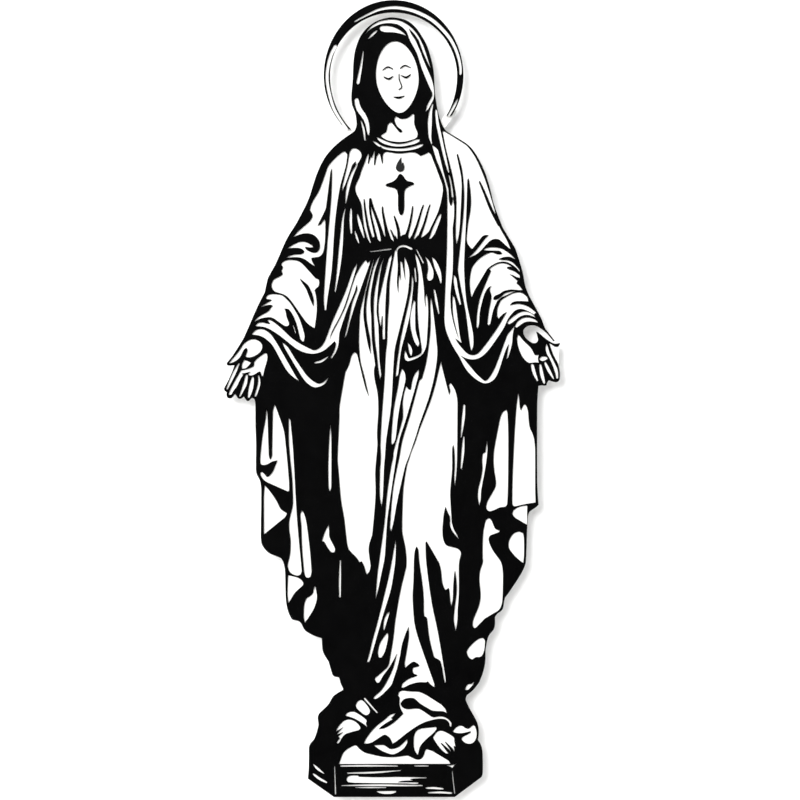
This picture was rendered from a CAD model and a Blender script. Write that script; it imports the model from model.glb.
import math

import bmesh
import bpy
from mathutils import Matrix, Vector
from mathutils.geometry import delaunay_2d_cdt
from mathutils.kdtree import KDTree


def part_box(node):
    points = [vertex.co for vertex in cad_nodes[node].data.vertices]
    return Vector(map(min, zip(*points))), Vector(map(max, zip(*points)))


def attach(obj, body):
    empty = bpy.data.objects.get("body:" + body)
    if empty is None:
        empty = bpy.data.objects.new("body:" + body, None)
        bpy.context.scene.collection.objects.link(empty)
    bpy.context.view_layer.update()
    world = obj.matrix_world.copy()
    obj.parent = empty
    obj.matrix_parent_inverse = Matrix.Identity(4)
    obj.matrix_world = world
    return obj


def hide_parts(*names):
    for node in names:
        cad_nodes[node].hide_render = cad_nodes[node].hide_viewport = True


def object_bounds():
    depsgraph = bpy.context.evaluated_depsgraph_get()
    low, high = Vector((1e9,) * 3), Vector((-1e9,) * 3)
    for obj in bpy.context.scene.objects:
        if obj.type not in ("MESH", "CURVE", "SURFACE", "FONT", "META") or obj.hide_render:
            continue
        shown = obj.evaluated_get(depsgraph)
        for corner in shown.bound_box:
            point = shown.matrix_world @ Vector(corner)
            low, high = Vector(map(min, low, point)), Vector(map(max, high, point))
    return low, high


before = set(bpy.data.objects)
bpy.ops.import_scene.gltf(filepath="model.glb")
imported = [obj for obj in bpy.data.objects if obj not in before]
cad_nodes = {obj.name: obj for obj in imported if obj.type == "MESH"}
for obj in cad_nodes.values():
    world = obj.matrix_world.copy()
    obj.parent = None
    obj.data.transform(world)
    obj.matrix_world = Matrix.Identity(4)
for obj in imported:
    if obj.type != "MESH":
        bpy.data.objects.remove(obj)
cad_low, cad_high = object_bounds()

# ---------------------------------------------------------------- white back plates
# The figure's back plate and the halo's back ring are 2 mm steel sheet, cut to outline and
# sprayed with smooth satin-white enamel. They carry everything else.
ENAMEL_WHITE = (0.90, 0.90, 0.885, 1.0)
ENAMEL_WARM = (0.86, 0.855, 0.835, 1.0)
ENAMEL_RUBBED = (0.78, 0.77, 0.75, 1.0)
ENAMEL_PEEL = 900.0           # this and the scales below are in cycles for each metre
CLOUD_SCALE = 22.0
RUB_SCALE = 240.0
SHEEN_SCALE = 90.0
BEAM_SCALE = 2600.0
BEAM_STRETCH = (1.0, 0.04, 1.0)
MOST_RUB = 0.7
PEEL_DEPTH = 0.00004
BEAM_DEPTH = 0.00008
NOISE_LOW = 0.3               # nearly all of a noise lies between these two
NOISE_HIGH = 0.7
WALL_NORMAL = 0.5             # a face whose normal has less y than this is a cut wall
FRONT_NORMAL = -0.9           # and one with less than this looks to the front
LOOSE_GAP = 1e-6              # the loose corners of a CAD mesh join within this
CUT_EDGE_ROUND = 0.00022      # the coat rounds every cut edge by this much
SHARP_TURN = math.radians(38)  # a turn past this is a true corner
SLIGHT_TURN = math.radians(14)  # and so is this much of a turn beside a long straight
LONG_SPAN = 0.009             # where a straight starts to be long
RUN_STEPS = 3                 # points added to each length of a smooth run
NEAR_CUT = 0.0015             # a cut nearer than this limits the rounding
BEND_SHARE = 2.5              # a cut this many times further along than across counts as another cut
SAME_POINT = 0.00002          # slack on that, for points that all but coincide
TIP_SHARE = 0.2               # a point sharper than this isn't rounded
MITRE_SHARE = 0.6             # keeps the rounding short at sharp corners
UNFOLD_PASSES = 3             # goes at putting back a step that has turned round
FILL_FINENESS = 1e-8          # points nearer than this are one point when a face is filled
ROOM_SHARE = 0.25             # of the metal's width, the most that the rounding takes
SPAN_SHARE = 0.8              # of the step to the next point, the most that the rounding takes
MENDS = 8                     # goes at freeing rounded edges that touch
MEND_REACH = 0.0008           # how far round such a touch the edge goes back to the cut line
WHOLE_HULL = 0                # triangulate everything; the openings are dropped afterwards


def finish_of(name):
    """A new material with its shader, ready for its own nodes."""
    material = bpy.data.materials.new(name)
    material.use_nodes = True
    tree = material.node_tree
    shader = tree.nodes["Principled BSDF"]
    place = tree.nodes.new("ShaderNodeTexCoord").outputs["Object"]
    return material, tree, shader, place


def speckle(tree, place, scale, detail, stretch=(1.0, 1.0, 1.0)):
    """Noise on the piece itself, at a scale in cycles for each metre."""
    mapping = tree.nodes.new("ShaderNodeMapping")
    mapping.inputs["Scale"].default_value = stretch
    noise = tree.nodes.new("ShaderNodeTexNoise")
    noise.inputs["Scale"].default_value = scale
    noise.inputs["Detail"].default_value = detail
    tree.links.new(place, mapping.inputs["Vector"])
    tree.links.new(mapping.outputs["Vector"], noise.inputs["Vector"])
    return noise.outputs["Fac"]


def spread(tree, value, low, high):
    """Takes a noise from its usual range to the wanted one."""
    span = tree.nodes.new("ShaderNodeMapRange")
    span.inputs["From Min"].default_value = NOISE_LOW
    span.inputs["From Max"].default_value = NOISE_HIGH
    span.inputs["To Min"].default_value = low
    span.inputs["To Max"].default_value = high
    tree.links.new(value, span.inputs["Value"])
    return span.outputs["Result"]


def blended(tree, factor, first, second):
    mix = tree.nodes.new("ShaderNodeMix")
    mix.data_type = "RGBA"
    tree.links.new(factor, mix.inputs["Factor"])
    for socket, value in (("A", first), ("B", second)):
        target = next(s for s in mix.inputs if s.name == socket and s.type == "RGBA")
        if isinstance(value, tuple):
            target.default_value = value
        else:
            tree.links.new(value, target)
    return next(s for s in mix.outputs if s.type == "RGBA")


def raised(tree, height, distance, strength, under=None):
    bump = tree.nodes.new("ShaderNodeBump")
    bump.inputs["Distance"].default_value = distance
    bump.inputs["Strength"].default_value = strength
    tree.links.new(height, bump.inputs["Height"])
    if under is not None:
        tree.links.new(under, bump.inputs["Normal"])
    return bump.outputs["Normal"]


def cut_wall(tree):
    """1 on the cut walls of a sheet, 0 on its two faces."""
    geometry = tree.nodes.new("ShaderNodeNewGeometry")
    parts = tree.nodes.new("ShaderNodeSeparateXYZ")
    size = tree.nodes.new("ShaderNodeMath")
    size.operation = "ABSOLUTE"
    wall = tree.nodes.new("ShaderNodeMath")
    wall.operation = "LESS_THAN"
    wall.inputs[1].default_value = WALL_NORMAL
    tree.links.new(geometry.outputs["True Normal"], parts.inputs["Vector"])
    tree.links.new(parts.outputs["Y"], size.inputs[0])
    tree.links.new(size.outputs["Value"], wall.inputs[0])
    return wall.outputs["Value"]


def sprayed_coat(name, plain, varied, worn, rough_low, rough_high, peel_scale):
    """A sprayed or baked coat: fine peel, faint cloudiness, and cut walls that show their beam lines."""
    material, tree, shader, place = finish_of(name)
    cloud = spread(tree, speckle(tree, place, CLOUD_SCALE, 3.0), 0.0, 1.0)
    colour = blended(tree, cloud, plain, varied)
    wall = cut_wall(tree)
    rub = tree.nodes.new("ShaderNodeMath")
    rub.operation = "MULTIPLY"
    tree.links.new(wall, rub.inputs[0])
    tree.links.new(spread(tree, speckle(tree, place, RUB_SCALE, 4.0), 0.0, MOST_RUB), rub.inputs[1])
    colour = blended(tree, rub.outputs["Value"], colour, worn)
    tree.links.new(colour, shader.inputs["Base Color"])
    rough = spread(tree, speckle(tree, place, SHEEN_SCALE, 4.0), rough_low, rough_high)
    tree.links.new(rough, shader.inputs["Roughness"])
    peel = raised(tree, speckle(tree, place, peel_scale, 2.0), PEEL_DEPTH, 0.25)
    lines = speckle(tree, place, BEAM_SCALE, 2.0, stretch=BEAM_STRETCH)
    beam = tree.nodes.new("ShaderNodeMath")
    beam.operation = "MULTIPLY"
    tree.links.new(lines, beam.inputs[0])
    tree.links.new(wall, beam.inputs[1])
    tree.links.new(raised(tree, beam.outputs["Value"], BEAM_DEPTH, 0.35, peel), shader.inputs["Normal"])
    return material, shader


white_enamel, enamel_shader = sprayed_coat(
    "white enamel", ENAMEL_WHITE, ENAMEL_WARM, ENAMEL_RUBBED, 0.42, 0.52, ENAMEL_PEEL)
enamel_shader.inputs["Specular IOR Level"].default_value = 0.3


def cut_loops(node):
    """The closed cut lines of a CAD sheet, as lists of (x, z), read off its front face."""
    mesh = bmesh.new()
    mesh.from_mesh(cad_nodes[node].data)
    bmesh.ops.remove_doubles(mesh, verts=mesh.verts, dist=LOOSE_GAP)
    after = {}
    for edge in mesh.edges:
        facing = [f for f in edge.link_faces if f.normal.y < FRONT_NORMAL]
        if len(facing) != 1 or len(edge.link_faces) != 2:
            continue
        loop = next(l for l in facing[0].loops if l.edge == edge)
        after.setdefault(loop.vert.index, []).append(loop.link_loop_next.vert.index)
    mesh.verts.ensure_lookup_table()
    loops = []
    while after:
        first = next(iter(after))
        here = first
        line = []
        while here in after:
            line.append((mesh.verts[here].co.x, mesh.verts[here].co.z))
            ahead = after[here].pop()
            if not after[here]:
                del after[here]
            here = ahead
            if here == first:
                break
        if len(line) > 2:
            loops.append([Vector(p) for p in line])
    mesh.free()
    return loops


def eased(line):
    """Rounds the facets of a cut line and leaves its sharp corners sharp."""
    count = len(line)
    sharp = []
    for i in range(count):
        back = line[i] - line[i - 1]
        ahead = line[(i + 1) % count] - line[i]
        turn = back.angle(ahead, 0.0) if back.length and ahead.length else 0.0
        straight = max(back.length, ahead.length) > LONG_SPAN
        sharp.append(turn > SHARP_TURN or (straight and turn > SLIGHT_TURN))
    smooth = []
    for i in range(count):
        p1, p2 = line[i], line[(i + 1) % count]
        p0 = p1 - (p2 - p1) if sharp[i] else line[i - 1]
        p3 = p2 + (p2 - p1) if sharp[(i + 1) % count] else line[(i + 2) % count]
        span = (p2 - p1).length
        start = (p2 - p0).normalized() * span
        end = (p3 - p1).normalized() * span
        smooth.append(p1)
        for k in range(1, RUN_STEPS):
            t = k / RUN_STEPS
            smooth.append(
                p1 * (2 * t**3 - 3 * t**2 + 1) + start * (t**3 - 2 * t**2 + t)
                + p2 * (-2 * t**3 + 3 * t**2) + end * (t**3 - t**2))
    return smooth


def room_beside(loops):
    """How far each point of each loop is from the nearest cut that isn't its own neighbour."""
    tree = KDTree(sum(len(loop) for loop in loops))
    owners = []
    for number, loop in enumerate(loops):
        travelled = 0.0
        for i, point in enumerate(loop):
            travelled += (point - loop[i - 1]).length if i else 0.0
            tree.insert((point.x, point.y, 0.0), len(owners))
            owners.append((number, travelled))
    tree.balance()
    lengths = [sum((loop[i] - loop[i - 1]).length for i in range(len(loop))) for loop in loops]
    rooms = []
    mark = 0
    for number, loop in enumerate(loops):
        row = []
        for point in loop:
            room = NEAR_CUT
            for _, other, distance in tree.find_range((point.x, point.y, 0.0), NEAR_CUT):
                other_number, other_travelled = owners[other]
                apart = abs(other_travelled - owners[mark][1])
                apart = min(apart, lengths[number] - apart)
                if other_number != number or apart > BEND_SHARE * distance + SAME_POINT:
                    room = min(room, distance)
            row.append(room)
            mark += 1
        rooms.append(row)
    return rooms


def drawn_back(loop, rooms):
    """The loop moved into the metal by the coat's rounding, or by less where the metal is narrow."""
    count = len(loop)
    moved = []
    for i, point in enumerate(loop):
        before = (point - loop[i - 1]).normalized()
        after = (loop[(i + 1) % count] - point).normalized()
        side = Vector((-before.y - after.y, before.x + after.x))
        share = side.length / 2
        if share < TIP_SHARE:
            moved.append(point.copy())
            continue
        reach = min(CUT_EDGE_ROUND, ROOM_SHARE * rooms[i], SPAN_SHARE * (point - loop[i - 1]).length)
        moved.append(point + side.normalized() * reach / max(share, MITRE_SHARE))
    for _ in range(UNFOLD_PASSES):
        for i in range(count):
            if (moved[i] - moved[i - 1]).dot(loop[i] - loop[i - 1]) <= 0:
                moved[i] = loop[i].copy()
                moved[i - 1] = loop[i - 1].copy()
    return moved


def metal_only(triangles, cuts):
    """The triangles that lie in metal: crossing a cut goes from metal to opening or back."""
    beside = {}
    for number, triangle in enumerate(triangles):
        for k in range(3):
            beside.setdefault(frozenset((triangle[k], triangle[k - 1])), []).append(number)
    metal = {}
    waiting = []
    for edge, pair in beside.items():
        if len(pair) == 1 and pair[0] not in metal:
            metal[pair[0]] = edge in cuts
            waiting.append(pair[0])
    while waiting:
        here = waiting.pop()
        triangle = triangles[here]
        for k in range(3):
            edge = frozenset((triangle[k], triangle[k - 1]))
            for other in beside[edge]:
                if other not in metal:
                    metal[other] = metal[here] != (edge in cuts)
                    waiting.append(other)
    return [triangle for number, triangle in enumerate(triangles) if metal.get(number)]


def cut_sheet(node, material):
    """Cuts one sheet along its CAD node's lines, with smooth runs and coat-rounded edges."""
    low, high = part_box(node)
    loops = [eased(line) for line in cut_loops(node)]
    inner = [drawn_back(loop, rooms) for loop, rooms in zip(loops, room_beside(loops))]
    flat = [point for loop in inner for point in loop]
    edges = []
    start = 0
    for loop in inner:
        edges += [(start + i, start + (i + 1) % len(loop)) for i in range(len(loop))]
        start += len(loop)
    outer = [point for loop in loops for point in loop]
    for _ in range(MENDS):
        filled = delaunay_2d_cdt(flat, edges, [], WHOLE_HULL, FILL_FINENESS)
        spots, lines, triangles, origins, line_origins, _ = filled
        touching = [spot for spot, origin in zip(spots, origins) if len(origin) != 1]
        if not touching:
            break
        flat = [outer[i].copy() if any((point - spot).length < MEND_REACH for spot in touching) else point
                for i, point in enumerate(flat)]
    cuts = {frozenset(line) for line, origin in zip(lines, line_origins) if origin}
    triangles = metal_only(triangles, cuts)
    made = bmesh.new()
    levels = (low.y, low.y + CUT_EDGE_ROUND, high.y - CUT_EDGE_ROUND, high.y)
    rings = []
    for level, shape in zip(levels, (flat, outer, outer, flat)):
        rings.append([made.verts.new((point.x, level, point.y)) for point in shape])
    for ring, ahead in zip(rings, rings[1:]):
        for a, b in edges:
            made.faces.new((ring[a], ahead[a], ahead[b], ring[b]))
    for ring, level, turned in ((rings[0], levels[0], False), (rings[3], levels[3], True)):
        corners = [ring[origin[0]] if origin else made.verts.new((spot.x, level, spot.y))
                   for spot, origin in zip(spots, origins)]
        for triangle in triangles:
            order = [corners[i] for i in triangle]
            if len(set(order)) == 3:
                made.faces.new(reversed(order) if turned else order)
    bmesh.ops.recalc_face_normals(made, faces=made.faces)
    mesh = bpy.data.meshes.new(node + "_cut")
    made.to_mesh(mesh)
    made.free()
    mesh.materials.append(material)
    piece = bpy.data.objects.new(node + "_cut", mesh)
    bpy.context.scene.collection.objects.link(piece)
    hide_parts(node)
    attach(piece, "panel")
    return piece


for sheet_name in ("figure_back_plate", "halo_back_ring"):
    cut_sheet(sheet_name, white_enamel)

# ---------------------------------------------------------------- black front plates
# The figure's front plate and the halo's front ring are 1 mm steel sheet, cut through along every
# fold and bonded over the white ones. They're powder coated satin black.
POWDER_BLACK = (0.0004, 0.0004, 0.0005, 1.0)
POWDER_CLOUD = (0.0009, 0.0009, 0.0010, 1.0)
POWDER_RUBBED = (0.030, 0.030, 0.032, 1.0)
POWDER_PEEL = 1500.0

powder_black, powder_shader = sprayed_coat(
    "black powder coat", POWDER_BLACK, POWDER_CLOUD, POWDER_RUBBED, 0.32, 0.42, POWDER_PEEL)
powder_shader.inputs["Specular IOR Level"].default_value = 0.03

for sheet_name in ("figure_front_plate", "halo_front_ring"):
    cut_sheet(sheet_name, powder_black)

# ---------------------------------------------------------------- bonded pieces
# The cross, the sleeve's loose fold and the strokes of the face touch no other black, so each is
# cut by itself and bonded to the white plate.
BONDED_BLACK = ("cross_overlay", "sleeve_fold_inlay", "brow_left_inlay", "brow_right_inlay",
                "eyelid_left_inlay", "eyelid_right_inlay", "nose_inlay", "mouth_inlay")

for piece_name in BONDED_BLACK:
    cut_sheet(piece_name, powder_black)

# ---------------------------------------------------------------- flame over the cross
# The flame is the one piece coated dark grey. It's cut and bonded as the cross is.
POWDER_GREY = (0.0145, 0.0145, 0.0150, 1.0)
GREY_CLOUD = (0.0190, 0.0190, 0.0196, 1.0)
GREY_RUBBED = (0.075, 0.075, 0.078, 1.0)

powder_grey, grey_shader = sprayed_coat(
    "dark grey powder coat", POWDER_GREY, GREY_CLOUD, GREY_RUBBED, 0.42, 0.54, POWDER_PEEL)
grey_shader.inputs["Specular IOR Level"].default_value = 0.05
cut_sheet("flame_overlay", powder_grey)

# ---------------------------------------------------------------- halo links
# Two short flat straps behind the shoulders hold the halo's ring to the figure. They're enamelled
# with the back plates and drilled for a stud at each end.
for link_name in ("halo_link_left", "halo_link_right"):
    cut_sheet(link_name, white_enamel)

# ---------------------------------------------------------------- weld studs
# Six M3 studs are welded to the rear of the white plates, four for the links and two for the
# hanger. They're zinc plated, with a rolled thread.
THREAD_PITCH = 0.0005
THREAD_DEPTH = 0.16           # of the stud's radius
STUD_SIDES = 24
STUD_STEPS = 72
CRYSTAL_SCALE = 650.0         # cycles for each metre
ZINC_DARK = (0.52, 0.54, 0.56, 1.0)
ZINC_BRIGHT = (0.66, 0.68, 0.70, 1.0)
ZINC_DULL = (0.40, 0.40, 0.39, 1.0)
STUD_PLACES = ("left_ring", "left_shoulder", "right_ring", "right_shoulder",
               "hanger_left", "hanger_right")


def zinc_plated():
    """Bright zinc: a metal with faint crystal patches, drawn lines and duller spots."""
    material, tree, shader, place = finish_of("zinc plate")
    crystal = tree.nodes.new("ShaderNodeTexVoronoi")
    crystal.inputs["Scale"].default_value = CRYSTAL_SCALE
    tree.links.new(place, crystal.inputs["Vector"])
    patch = tree.nodes.new("ShaderNodeSeparateColor")
    tree.links.new(crystal.outputs["Color"], patch.inputs["Color"])
    colour = blended(tree, patch.outputs["Red"], ZINC_DARK, ZINC_BRIGHT)
    dull = spread(tree, speckle(tree, place, 150.0, 5.0), 0.0, 0.5)
    colour = blended(tree, dull, colour, ZINC_DULL)
    tree.links.new(colour, shader.inputs["Base Color"])
    tree.links.new(spread(tree, speckle(tree, place, 420.0, 4.0), 0.24, 0.42), shader.inputs["Roughness"])
    drawn = speckle(tree, place, 1800.0, 2.0, stretch=(0.05, 1.0, 1.0))
    tree.links.new(raised(tree, drawn, 0.00003, 0.2), shader.inputs["Normal"])
    shader.inputs["Metallic"].default_value = 1.0
    return material


zinc_plate = zinc_plated()


def new_tree(name, sizes):
    """An empty node tree with named size inputs, a material input and its two ends."""
    tree = bpy.data.node_groups.new(name, "GeometryNodeTree")
    tree.interface.new_socket("Places", in_out="INPUT", socket_type="NodeSocketGeometry")
    for size in sizes:
        tree.interface.new_socket(size, in_out="INPUT", socket_type="NodeSocketFloat")
    tree.interface.new_socket("Finish", in_out="INPUT", socket_type="NodeSocketMaterial")
    tree.interface.new_socket("Pieces", in_out="OUTPUT", socket_type="NodeSocketGeometry")
    return tree, tree.nodes.new("NodeGroupInput"), tree.nodes.new("NodeGroupOutput")


def worked(tree, operation, first, second=None):
    """One sum in a node tree; each side is a socket or a number."""
    node = tree.nodes.new("ShaderNodeMath")
    node.operation = operation
    for socket, value in zip(node.inputs, (first, second)):
        if value is None:
            continue
        if isinstance(value, (int, float)):
            socket.default_value = value
        else:
            tree.links.new(value, socket)
    return node.outputs["Value"]


def rod(tree, sides, steps, radius, length):
    cylinder = tree.nodes.new("GeometryNodeMeshCylinder")
    cylinder.inputs["Vertices"].default_value = sides
    cylinder.inputs["Side Segments"].default_value = steps
    tree.links.new(radius, cylinder.inputs["Radius"])
    tree.links.new(length, cylinder.inputs["Depth"])
    return cylinder.outputs["Mesh"]


def drawn_in(tree, mesh, amount):
    """Moves each point towards the rod's axis by a share of its distance from it."""
    position = tree.nodes.new("GeometryNodeInputPosition").outputs["Position"]
    flat = tree.nodes.new("ShaderNodeVectorMath")
    flat.operation = "MULTIPLY"
    flat.inputs[1].default_value = (-1.0, -1.0, 0.0)
    tree.links.new(position, flat.inputs[0])
    scaled = tree.nodes.new("ShaderNodeVectorMath")
    scaled.operation = "SCALE"
    tree.links.new(flat.outputs["Vector"], scaled.inputs[0])
    tree.links.new(amount, scaled.inputs["Scale"])
    move = tree.nodes.new("GeometryNodeSetPosition")
    tree.links.new(mesh, move.inputs["Geometry"])
    tree.links.new(scaled.outputs["Vector"], move.inputs["Offset"])
    return move.outputs["Geometry"]


def set_out(tree, ends_in, ends_out, shape):
    """Puts the shape at every place, its axis front to back, and gives it its finish."""
    spot = tree.nodes.new("GeometryNodeInstanceOnPoints")
    spot.inputs["Rotation"].default_value = (math.pi / 2, 0.0, 0.0)
    real = tree.nodes.new("GeometryNodeRealizeInstances")
    coat = tree.nodes.new("GeometryNodeSetMaterial")
    tree.links.new(ends_in.outputs["Places"], spot.inputs["Points"])
    tree.links.new(shape, spot.inputs["Instance"])
    tree.links.new(spot.outputs["Instances"], real.inputs["Geometry"])
    tree.links.new(real.outputs["Geometry"], coat.inputs["Geometry"])
    tree.links.new(ends_in.outputs["Finish"], coat.inputs["Material"])
    tree.links.new(coat.outputs["Geometry"], ends_out.inputs["Pieces"])


def made_from_tree(name, tree, nodes, sizes, finish, body):
    """Runs a tree on the middles of some CAD nodes and keeps the result as one plain piece."""
    middles = []
    for node in nodes:
        low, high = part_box(node)
        middles.append((low + high) / 2)
    mesh = bpy.data.meshes.new(name)
    mesh.from_pydata(middles, [], [])
    piece = bpy.data.objects.new(name, mesh)
    bpy.context.scene.collection.objects.link(piece)
    modifier = piece.modifiers.new("shape", "NODES")
    modifier.node_group = tree
    values = dict(sizes, Finish=finish)
    for item in tree.interface.items_tree:
        if item.in_out == "INPUT" and item.name in values:
            modifier[item.identifier] = values[item.name]
    graph = bpy.context.evaluated_depsgraph_get()
    result = bpy.data.meshes.new_from_object(piece.evaluated_get(graph))
    piece.modifiers.clear()
    piece.data = result
    if not result.materials:
        result.materials.append(finish)
    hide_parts(*nodes)
    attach(piece, body)
    return piece


def threaded_stud_tree():
    tree, ends_in, ends_out = new_tree("threaded stud", ("Radius", "Length", "Pitch"))
    shaft = rod(tree, STUD_SIDES, STUD_STEPS, ends_in.outputs["Radius"], ends_in.outputs["Length"])
    position = tree.nodes.new("GeometryNodeInputPosition").outputs["Position"]
    parts = tree.nodes.new("ShaderNodeSeparateXYZ")
    tree.links.new(position, parts.inputs["Vector"])
    turns = worked(tree, "DIVIDE", parts.outputs["Z"], ends_in.outputs["Pitch"])
    along = worked(tree, "MULTIPLY", turns, math.tau)
    round_angle = worked(tree, "ARCTAN2", parts.outputs["Y"], parts.outputs["X"])
    wave = worked(tree, "SINE", worked(tree, "ADD", along, round_angle))
    depth = worked(tree, "MULTIPLY", worked(tree, "ADD", wave, 1.0), THREAD_DEPTH / 2)
    set_out(tree, ends_in, ends_out, drawn_in(tree, shaft, depth))
    return tree


stud_nodes = ["weld_stud_" + place for place in STUD_PLACES]
stud_low, stud_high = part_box(stud_nodes[0])
made_from_tree(
    "weld_studs", threaded_stud_tree(), stud_nodes,
    {"Radius": (stud_high.x - stud_low.x) / 2, "Length": stud_high.y - stud_low.y, "Pitch": THREAD_PITCH},
    zinc_plate, "panel")

# ---------------------------------------------------------------- hex nuts
# A zinc-plated M3 nut on each stud clamps the links and the hanger. Its corners are chamfered on
# both sides, as turned nuts are.
NUT_BORE_RADIUS = 0.0018
CHAMFER_SHARE = 0.11
CHAMFER_START = 0.33          # share of the thickness from the middle to where the chamfer starts
CHAMFER_RUN = 0.17            # and from there to the face
TURNED_WIDTH = 0.992          # the turned shape just trims the six corners
TURNED_HEIGHT = 1.03          # and stands past both faces, as the bore does
BORE_OVERRUN = 1.5
SEAM = 0.000002               # points left nearer than this by the cuts are merged
TURNED_SIDES = 48
TURNED_STEPS = 12
BORE_SIDES = 32
FLATS_TURN = math.radians(30)


def chamfered_nut_tree():
    tree, ends_in, ends_out = new_tree("chamfered nut", ("Radius", "Thickness", "Bore"))
    hexagon = rod(tree, 6, 1, ends_in.outputs["Radius"], ends_in.outputs["Thickness"])
    turned_radius = worked(tree, "MULTIPLY", ends_in.outputs["Radius"], TURNED_WIDTH)
    turned_height = worked(tree, "MULTIPLY", ends_in.outputs["Thickness"], TURNED_HEIGHT)
    blank = rod(tree, TURNED_SIDES, TURNED_STEPS, turned_radius, turned_height)
    position = tree.nodes.new("GeometryNodeInputPosition").outputs["Position"]
    parts = tree.nodes.new("ShaderNodeSeparateXYZ")
    tree.links.new(position, parts.inputs["Vector"])
    height = worked(tree, "ABSOLUTE", parts.outputs["Z"])
    share = worked(tree, "DIVIDE", height, ends_in.outputs["Thickness"])
    past = worked(tree, "MAXIMUM", worked(tree, "SUBTRACT", share, CHAMFER_START), 0.0)
    turned_in = worked(tree, "MULTIPLY", past, CHAMFER_SHARE / CHAMFER_RUN)
    turned = drawn_in(tree, blank, turned_in)
    common = tree.nodes.new("GeometryNodeMeshBoolean")
    common.operation = "INTERSECT"
    tree.links.new(hexagon, common.inputs["Mesh 2"])
    tree.links.new(turned, common.inputs["Mesh 2"])
    bore_length = worked(tree, "MULTIPLY", ends_in.outputs["Thickness"], BORE_OVERRUN)
    bore = rod(tree, BORE_SIDES, 1, ends_in.outputs["Bore"], bore_length)
    drilled = tree.nodes.new("GeometryNodeMeshBoolean")
    drilled.operation = "DIFFERENCE"
    tree.links.new(common.outputs["Mesh"], drilled.inputs["Mesh 1"])
    tree.links.new(bore, drilled.inputs["Mesh 2"])
    turn = tree.nodes.new("GeometryNodeTransform")
    turn.inputs["Rotation"].default_value = (0.0, 0.0, FLATS_TURN)
    sealed = tree.nodes.new("GeometryNodeMergeByDistance")
    sealed.inputs["Distance"].default_value = SEAM
    tree.links.new(drilled.outputs["Mesh"], sealed.inputs["Geometry"])
    tree.links.new(sealed.outputs["Geometry"], turn.inputs["Geometry"])
    set_out(tree, ends_in, ends_out, turn.outputs["Geometry"])
    return tree


nut_nodes = ["hex_nut_" + place for place in STUD_PLACES]
nut_low, nut_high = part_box(nut_nodes[0])
made_from_tree(
    "hex_nuts", chamfered_nut_tree(), nut_nodes,
    {"Radius": (nut_high.z - nut_low.z) / 2, "Thickness": nut_high.y - nut_low.y, "Bore": NUT_BORE_RADIUS},
    zinc_plate, "panel")

# ---------------------------------------------------------------- hanger strap
# A pressed steel strap, zinc plated, with a rolled eye in its middle. Two studs and their nuts hold
# it across the back below the neck. Its CAD mesh is shown as it is.
strap = cad_nodes["hanger_strap"]
strap.data.materials.clear()
strap.data.materials.append(zinc_plate)

# ---------------------------------------------------------------- hanging ring
# A ring of 2.5 mm wire, butt welded at its foot, swings in the strap's eye and takes the wall hook.
RING_STEPS = 128
WIRE_SIDES = 24
WELD_SWELL = 0.10             # of the wire's radius
WELD_SPREAD = 0.09            # radians

ring_low, ring_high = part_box("hanging_ring")
wire_radius = (ring_high.y - ring_low.y) / 2
ring_middle = (ring_low + ring_high) / 2
ring_radius = (ring_high.z - ring_low.z) / 2 - wire_radius


def welded_ring():
    made = bmesh.new()
    rows = []
    for i in range(RING_STEPS):
        angle = math.tau * i / RING_STEPS - math.pi / 2
        off_weld = min(i, RING_STEPS - i) * math.tau / RING_STEPS
        wire = wire_radius * (1 + WELD_SWELL * math.exp(-((off_weld / WELD_SPREAD) ** 2)))
        out = Vector((math.cos(angle), 0.0, math.sin(angle)))
        row = []
        for k in range(WIRE_SIDES):
            round_wire = math.tau * k / WIRE_SIDES
            reach = out * (ring_radius + wire * math.cos(round_wire))
            row.append(made.verts.new(ring_middle + reach + Vector((0.0, wire * math.sin(round_wire), 0.0))))
        rows.append(row)
    for i, row in enumerate(rows):
        following = rows[(i + 1) % RING_STEPS]
        for k in range(WIRE_SIDES):
            n = (k + 1) % WIRE_SIDES
            made.faces.new((row[k], row[n], following[n], following[k]))
    bmesh.ops.recalc_face_normals(made, faces=made.faces)
    for face in made.faces:
        face.smooth = True
    mesh = bpy.data.meshes.new("hanging_ring_wire")
    made.to_mesh(mesh)
    made.free()
    return mesh


ring_wire = bpy.data.objects.new("hanging_ring_wire", welded_ring())
ring_wire.data.materials.append(zinc_plate)
bpy.context.scene.collection.objects.link(ring_wire)
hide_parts("hanging_ring")
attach(ring_wire, "ring")

# ---------------------------------------------------------------- rubber bumpers
# Four moulded rubber bumpers are stuck to the back plate and hold the panel off the wall. The wall
# side is rounded and slightly dished.
BUMPER_PLACES = ("foot", "cloak_left", "cloak_right", "chest")
BUMPER_SIDES = 56
RUBBER_BLACK = (0.012, 0.012, 0.012, 1.0)
RUBBER_BLOOM = (0.040, 0.039, 0.037, 1.0)


def moulded_rubber():
    material, tree, shader, place = finish_of("moulded black rubber")
    bloom = spread(tree, speckle(tree, place, 160.0, 5.0), 0.0, 0.6)
    colour = blended(tree, bloom, RUBBER_BLACK, RUBBER_BLOOM)
    tree.links.new(colour, shader.inputs["Base Color"])
    tree.links.new(spread(tree, speckle(tree, place, 500.0, 3.0), 0.72, 0.9), shader.inputs["Roughness"])
    grit = speckle(tree, place, 2200.0, 4.0)
    tree.links.new(raised(tree, grit, 0.00006, 0.4), shader.inputs["Normal"])
    return material


bumper_rubber = moulded_rubber()


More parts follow.
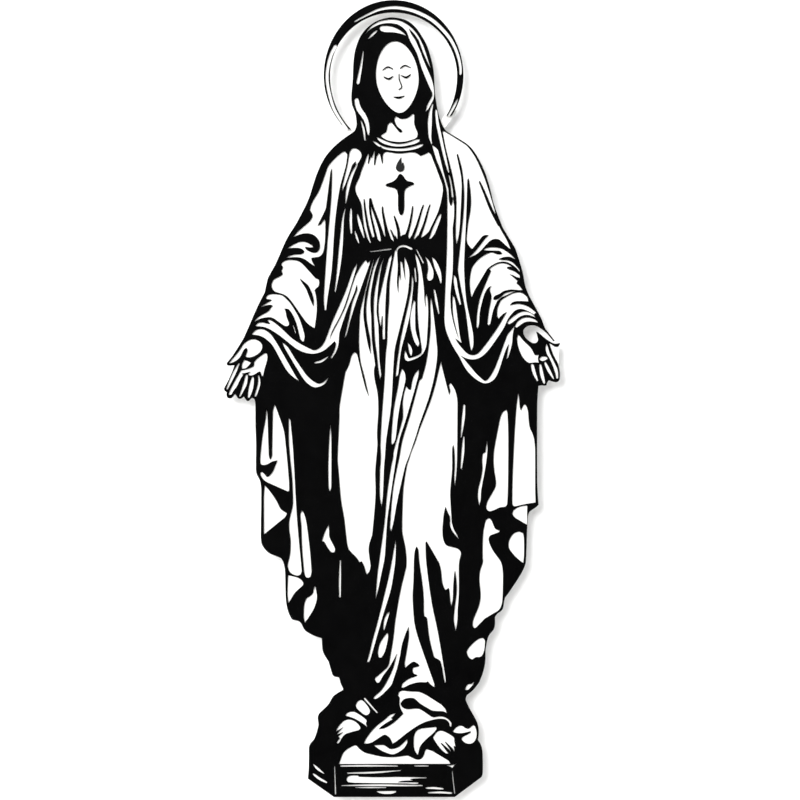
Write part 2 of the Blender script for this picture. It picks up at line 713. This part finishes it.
def moulded_bumper(place_name):
    """A turned shape: each pair is a share of the radius and a share of the depth from the wall."""
    node = "bumper_" + place_name
    low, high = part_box(node)
    radius = (high.x - low.x) / 2
    depth = high.y - low.y
    middle = (low + high) / 2
    shape = [(0.55, 0.06), (0.72, 0.015), (0.82, 0.0), (0.91, 0.018), (0.97, 0.075), (1.0, 0.16),
             (1.0, 0.93), (0.985, 0.98), (0.96, 1.0)]
    made = bmesh.new()
    rows = []
    for across, down in shape:
        row = []
        for k in range(BUMPER_SIDES):
            angle = math.tau * k / BUMPER_SIDES
            row.append(made.verts.new((middle.x + across * radius * math.cos(angle),
                                       high.y - down * depth,
                                       middle.z + across * radius * math.sin(angle))))
        rows.append(row)
    for row, following in zip(rows, rows[1:]):
        for k in range(BUMPER_SIDES):
            n = (k + 1) % BUMPER_SIDES
            made.faces.new((row[k], row[n], following[n], following[k])).smooth = True
    made.faces.new(rows[0])
    made.faces.new(rows[-1])
    bmesh.ops.recalc_face_normals(made, faces=made.faces)
    mesh = bpy.data.meshes.new(node + "_moulded")
    made.to_mesh(mesh)
    made.free()
    mesh.materials.append(bumper_rubber)
    piece = bpy.data.objects.new(node + "_moulded", mesh)
    bpy.context.scene.collection.objects.link(piece)
    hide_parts(node)
    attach(piece, "panel")


for bumper_place in BUMPER_PLACES:
    moulded_bumper(bumper_place)

# ---------------------------------------------------------------- wall and floor
# A plain white wall just behind the bumpers takes the panel's shadow, and a pale floor lies below.
# The wall shows only from its front, so that the back of the panel can be looked at.
WALL_HALF = 1.2
WALL_Y = 0.0006
FLOOR_Z = -0.45
FLOOR_HALF = 4.0
WALL_PAINT = (0.90, 0.90, 0.90, 1.0)
FLOOR_PAINT = (0.82, 0.82, 0.81, 1.0)
PAINT_SHADE = 0.985


def stage_white(name, colour, one_sided):
    material, tree, shader, place = finish_of(name)
    grain = spread(tree, speckle(tree, place, 6.0, 2.0), 0.0, 1.0)
    shade = tuple(c * PAINT_SHADE for c in colour[:3]) + (1.0,)
    tree.links.new(blended(tree, grain, colour, shade), shader.inputs["Base Color"])
    shader.inputs["Roughness"].default_value = 0.9
    shader.inputs["Specular IOR Level"].default_value = 0.0
    if one_sided:
        clear = tree.nodes.new("ShaderNodeBsdfTransparent")
        choice = tree.nodes.new("ShaderNodeMixShader")
        back = tree.nodes.new("ShaderNodeNewGeometry").outputs["Backfacing"]
        shadow = tree.nodes.new("ShaderNodeLightPath").outputs["Is Shadow Ray"]
        tree.links.new(worked(tree, "MAXIMUM", back, shadow), choice.inputs["Fac"])
        tree.links.new(shader.outputs["BSDF"], choice.inputs[1])
        tree.links.new(clear.outputs["BSDF"], choice.inputs[2])
        tree.links.new(choice.outputs["Shader"], tree.nodes["Material Output"].inputs["Surface"])
    return material


def stage_sheet(name, corners, material):
    mesh = bpy.data.meshes.new(name)
    mesh.from_pydata(corners, [], [(0, 1, 2, 3)])
    mesh.materials.append(material)
    sheet = bpy.data.objects.new(name, mesh)
    bpy.context.scene.collection.objects.link(sheet)


stage_sheet(
    "wall",
    [(-WALL_HALF, WALL_Y, -WALL_HALF), (WALL_HALF, WALL_Y, -WALL_HALF),
     (WALL_HALF, WALL_Y, WALL_HALF), (-WALL_HALF, WALL_Y, WALL_HALF)],
    stage_white("wall paint", WALL_PAINT, True))
stage_sheet(
    "floor",
    [(-FLOOR_HALF, -FLOOR_HALF, FLOOR_Z), (FLOOR_HALF, -FLOOR_HALF, FLOOR_Z),
     (FLOOR_HALF, FLOOR_HALF, FLOOR_Z), (-FLOOR_HALF, FLOOR_HALF, FLOOR_Z)],
    stage_white("pale floor", FLOOR_PAINT, False))

# ---------------------------------------------------------------- studio light
# A broad soft key from the upper left, wide fills from every side, and a dim room. A weaker light
# from the rear is for views of the back.
FILLS = 6
FILL_LEAN = 0.72              # sideways share of each fill's direction
FILL_STRENGTH = 0.43
FILL_WIDTH = 30
ROOM_LIGHT = 0.2              # what the room adds
ROOM_SEEN = (0.62, 0.63, 0.64, 1.0)


def soft_sun(name, direction, strength, width_degrees):
    lamp = bpy.data.lights.new(name, "SUN")
    lamp.energy = strength
    lamp.angle = math.radians(width_degrees)
    holder = bpy.data.objects.new(name, lamp)
    holder.rotation_euler = Vector(direction).to_track_quat("-Z", "Y").to_euler()
    bpy.context.scene.collection.objects.link(holder)


soft_sun("key", (0.50, 1.0, -0.46), 2.8, 33)
for number in range(FILLS):
    turn = math.tau * (number + 0.5) / FILLS
    lean = (FILL_LEAN * math.cos(turn), 1.0, FILL_LEAN * math.sin(turn))
    soft_sun(f"fill {number}", lean, FILL_STRENGTH, FILL_WIDTH)
soft_sun("rear", (-0.55, -1.0, -0.75), 0.8, 18)

room = bpy.data.worlds.new("room")
room.use_nodes = True
room.node_tree.nodes["Background"].inputs["Color"].default_value = (1.0, 1.0, 1.0, 1.0)
room.node_tree.nodes["Background"].inputs["Strength"].default_value = ROOM_LIGHT
seen = room.node_tree.nodes.new("ShaderNodeBackground")
seen.inputs["Color"].default_value = ROOM_SEEN
choose = room.node_tree.nodes.new("ShaderNodeMixShader")
light_path = room.node_tree.nodes.new("ShaderNodeLightPath")
room.node_tree.links.new(light_path.outputs["Is Camera Ray"], choose.inputs["Fac"])
room.node_tree.links.new(room.node_tree.nodes["Background"].outputs["Background"], choose.inputs[1])
room.node_tree.links.new(seen.outputs["Background"], choose.inputs[2])
room.node_tree.links.new(choose.outputs["Shader"], room.node_tree.nodes["World Output"].inputs["Surface"])
bpy.context.scene.world = room
bpy.context.scene.view_settings.view_transform = "Standard"

# ---------------------------------------------------------------- camera
# Head on, from far off with a long lens, so that the panel shows nearly without perspective. The
# frame is a little wider than the panel is tall.
LENS_MM = 135.0
SENSOR_MM = 36.0
FRAME_WIDTH = 0.6022
LOOK_X = 0.00565
LOOK_Z = 0.2789

camera_data = bpy.data.cameras.new("camera")
camera_data.lens = LENS_MM
camera_data.sensor_width = SENSOR_MM
camera = bpy.data.objects.new("camera", camera_data)
camera.location = (LOOK_X, cad_low.y - FRAME_WIDTH * LENS_MM / SENSOR_MM, LOOK_Z)
camera.rotation_euler = (math.pi / 2, 0.0, 0.0)
bpy.context.scene.collection.objects.link(camera)
bpy.context.scene.camera = camera
